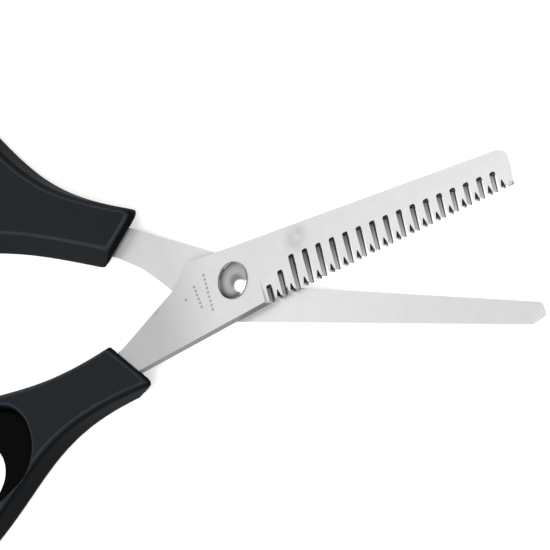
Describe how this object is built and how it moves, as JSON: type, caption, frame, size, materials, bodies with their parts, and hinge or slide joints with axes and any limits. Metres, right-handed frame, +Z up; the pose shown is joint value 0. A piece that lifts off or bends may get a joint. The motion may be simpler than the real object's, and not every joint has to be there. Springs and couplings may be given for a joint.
{
  "type": "thinning shears",
  "caption": "Riveted thinning shears with a comb blade over a plain blade and moulded plastic ring handles, lying open.",
  "frame": {"origin": "on the rivet's axis, at the flat face of its closed tail, which is the face that the shears lie on", "axes": "+X from the rivet towards the blade tips along the centre line between the halves, +Y towards the thumb handle's side, +Z up through the rivet's domed head"},
  "size_m": [0.1838, 0.1063, 0.0076],
  "materials": {
    "blade_steel": "fine ground stainless steel, brighter along the teeth",
    "rivet_steel": "polished stainless steel",
    "washer_steel": "plain rolled steel",
    "handle_plastic": "satin moulded plastic with a fine texture",
    "liner_rubber": "soft matt rubber"
  },
  "bodies": {
    "plain_half": {"plain_blade": "blade_steel", "pivot_rivet": "rivet_steel", "blade_washer": "washer_steel", "back_washer": "washer_steel", "thumb_handle": "handle_plastic", "thumb_insert": "liner_rubber"},
    "toothed_half": {"toothed_blade": "blade_steel", "finger_handle": "handle_plastic", "finger_insert": "liner_rubber", "stop_bumper": "liner_rubber"}
  },
  "joints": [
    {"name": "pivot", "type": "hinge", "parent": "plain_half", "child": "toothed_half", "pos_m": [0, 0, 0.004], "axis": [0, 0, 1], "range_deg": [-24, 41]}
  ]
}
